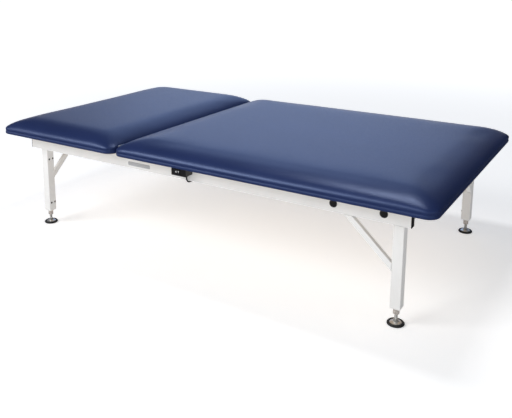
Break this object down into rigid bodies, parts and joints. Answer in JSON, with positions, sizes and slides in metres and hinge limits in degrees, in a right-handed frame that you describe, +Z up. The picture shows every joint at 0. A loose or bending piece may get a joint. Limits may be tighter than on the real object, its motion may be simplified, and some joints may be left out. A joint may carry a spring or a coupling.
{
  "type": "medical exam table",
  "caption": "Low upholstered exam table on a rectangular tube frame, with diagonal braces, levelling feet and a powered lifting backrest worked by a rocker switch.",
  "frame": {"origin": "on the floor, under the centre of the upholstered top", "axes": "+X from the head end to the foot end along the length, +Z up, -Y towards the side with the hand switch"},
  "size_m": [2.134, 1.219, 0.526],
  "materials": {
    "white_powder_coat": "satin",
    "black_plastic": "satin",
    "grey_plastic": "matte",
    "zinc_plate": "satin",
    "bright_steel": "satin",
    "black_rubber": "matte",
    "plywood": "matte",
    "navy_vinyl": "satin"
  },
  "bodies": {
    "frame": {"side_rail_front": "white_powder_coat", "side_rail_rear": "white_powder_coat", "end_rail_head": "white_powder_coat", "end_rail_foot": "white_powder_coat", "cross_member_hinge": "white_powder_coat", "cross_member_foot": "white_powder_coat", "leg_front_head": "white_powder_coat", "leg_rear_head": "white_powder_coat", "leg_front_foot": "white_powder_coat", "leg_rear_foot": "white_powder_coat", "brace_front_head": "white_powder_coat", "brace_rear_head": "white_powder_coat", "brace_front_foot": "white_powder_coat", "brace_rear_foot": "white_powder_coat", "actuator_lug": "white_powder_coat", "rail_plug_front_head": "black_plastic", "rail_plug_rear_head": "black_plastic", "rail_plug_front_foot": "black_plastic", "rail_plug_rear_foot": "black_plastic", "leg_nut_front_head": "zinc_plate", "leg_nut_rear_head": "zinc_plate", "leg_nut_front_foot": "zinc_plate", "leg_nut_rear_foot": "zinc_plate", "hole_plug_inner": "black_plastic", "hole_plug_outer": "black_plastic", "deck_foot": "plywood", "cushion_foot": "navy_vinyl", "hinge_leaf_fixed": "bright_steel", "hinge_pin": "bright_steel", "control_box": "grey_plastic", "mains_inlet": "black_plastic", "switch_housing": "black_plastic", "switch_cable": "black_plastic", "motor_cable": "black_plastic"},
    "backrest": {"deck_head": "plywood", "cushion_head": "navy_vinyl", "backrest_arm_front": "white_powder_coat", "backrest_arm_rear": "white_powder_coat", "backrest_crossbar": "white_powder_coat", "hinge_leaf_moving": "bright_steel", "rod_bracket": "white_powder_coat"},
    "actuator": {"actuator_housing": "grey_plastic", "actuator_motor": "grey_plastic", "actuator_tube": "bright_steel", "actuator_pivot_pin": "bright_steel"},
    "rod": {"actuator_rod": "bright_steel", "rod_pin": "bright_steel"},
    "rocker": {"switch_rocker": "black_plastic"},
    "foot_front_head": {"foot_stud_front_head": "zinc_plate", "foot_cup_front_head": "zinc_plate", "foot_pad_front_head": "black_rubber"},
    "foot_rear_head": {"foot_stud_rear_head": "zinc_plate", "foot_cup_rear_head": "zinc_plate", "foot_pad_rear_head": "black_rubber"},
    "foot_front_foot": {"foot_stud_front_foot": "zinc_plate", "foot_cup_front_foot": "zinc_plate", "foot_pad_front_foot": "black_rubber"},
    "foot_rear_foot": {"foot_stud_rear_foot": "zinc_plate", "foot_cup_rear_foot": "zinc_plate", "foot_pad_rear_foot": "black_rubber"}
  },
  "joints": [
    {"name": "backrest_hinge", "type": "hinge", "parent": "frame", "child": "backrest", "pos_m": [-0.341, 0, 0.484], "axis": [0, 1, 0], "range_deg": [0, 75]},
    {"name": "actuator_swing", "type": "hinge", "parent": "frame", "child": "actuator", "pos_m": [-0.386, 0, 0.409], "axis": [0, 1, 0], "range_deg": [0, 73]},
    {"name": "rod_slide", "type": "slide", "parent": "actuator", "child": "rod", "axis": [-0.9993, 0, 0.0366], "range_m": [0, 0.1075]},
    {"name": "rocker_tilt", "type": "hinge", "parent": "frame", "child": "rocker", "pos_m": [-0.009, -0.5663, 0.43], "axis": [0, 0, 1], "range_deg": [-6, 6], "stiffness_Nm_per_rad": 0.3},
    {"name": "foot_height_front_head", "type": "slide", "parent": "frame", "child": "foot_front_head", "axis": [0, 0, -1], "range_m": [-0.006, 0.025]},
    {"name": "foot_height_rear_head", "type": "slide", "parent": "frame", "child": "foot_rear_head", "axis": [0, 0, -1], "range_m": [-0.006, 0.025]},
    {"name": "foot_height_front_foot", "type": "slide", "parent": "frame", "child": "foot_front_foot", "axis": [0, 0, -1], "range_m": [-0.006, 0.025]},
    {"name": "foot_height_rear_foot", "type": "slide", "parent": "frame", "child": "foot_rear_foot", "axis": [0, 0, -1], "range_m": [-0.006, 0.025]}
  ],
  "couplings": [
    {"joint": "actuator_swing", "follows": "backrest_hinge", "ratio": 0.9699},
    {"joint": "rod_slide", "follows": "backrest_hinge", "m_per_rad": 0.082024}
  ]
}
